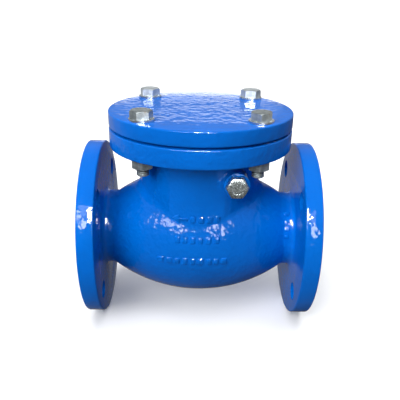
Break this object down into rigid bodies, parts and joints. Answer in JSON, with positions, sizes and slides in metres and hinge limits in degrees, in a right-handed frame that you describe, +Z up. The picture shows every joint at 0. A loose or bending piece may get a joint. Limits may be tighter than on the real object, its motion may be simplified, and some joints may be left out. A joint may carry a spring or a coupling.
{
  "type": "swing check valve",
  "caption": "Flanged swing check valve: barrel body, bolted round bonnet, hinged disc that closes a tilted seat inside.",
  "frame": {"origin": "centre of the inlet flange's sealing face, on the flow axis", "axes": "+X along the flow axis, out of the inlet; +Z up to the bonnet; the outlet is at -X"},
  "size_m": [0.24, 0.185, 0.232],
  "materials": {
    "blue_paint": "gloss enamel over a casting",
    "zinc_steel": "zinc plated",
    "copper": "bare copper",
    "gasket": "matte",
    "bronze": "machined",
    "bare_iron": "as cast, primed",
    "stainless": "machined"
  },
  "bodies": {
    "valve": {"body": "blue_paint", "seat_ring": "bronze", "bonnet": "blue_paint", "bonnet_gasket": "gasket", "bonnet_bolt_1": "zinc_steel", "bonnet_bolt_2": "zinc_steel", "bonnet_bolt_3": "zinc_steel", "bonnet_bolt_4": "zinc_steel", "bolt_washer_1": "zinc_steel", "bolt_washer_2": "zinc_steel", "bolt_washer_3": "zinc_steel", "bolt_washer_4": "zinc_steel", "bonnet_nut_1": "zinc_steel", "bonnet_nut_2": "zinc_steel", "bonnet_nut_3": "zinc_steel", "bonnet_nut_4": "zinc_steel", "side_plug_front": "zinc_steel", "side_plug_back": "zinc_steel", "plug_seal_front": "copper", "plug_seal_back": "copper", "pin_bush_front": "bronze", "pin_bush_back": "bronze"},
    "pin": {"hinge_pin": "stainless"},
    "arm": {"hinge_arm": "bare_iron"},
    "clack": {"disc": "bare_iron", "disc_ring": "bronze", "disc_washer": "stainless", "disc_nut": "stainless", "split_pin": "stainless"}
  },
  "joints": [
    {"name": "pin_turn", "type": "hinge", "parent": "valve", "child": "pin", "pos_m": [-0.085, 0, 0.07], "axis": [0, 1, 0], "continuous": true},
    {"name": "disc_swing", "type": "hinge", "parent": "valve", "child": "arm", "pos_m": [-0.085, 0, 0.07], "axis": [0, 1, 0], "range_deg": [0, 55]},
    {"name": "disc_spin", "type": "hinge", "parent": "arm", "child": "clack", "pos_m": [-0.097, 0, 0], "axis": [-0.9962, 0, 0.0872], "continuous": true}
  ]
}
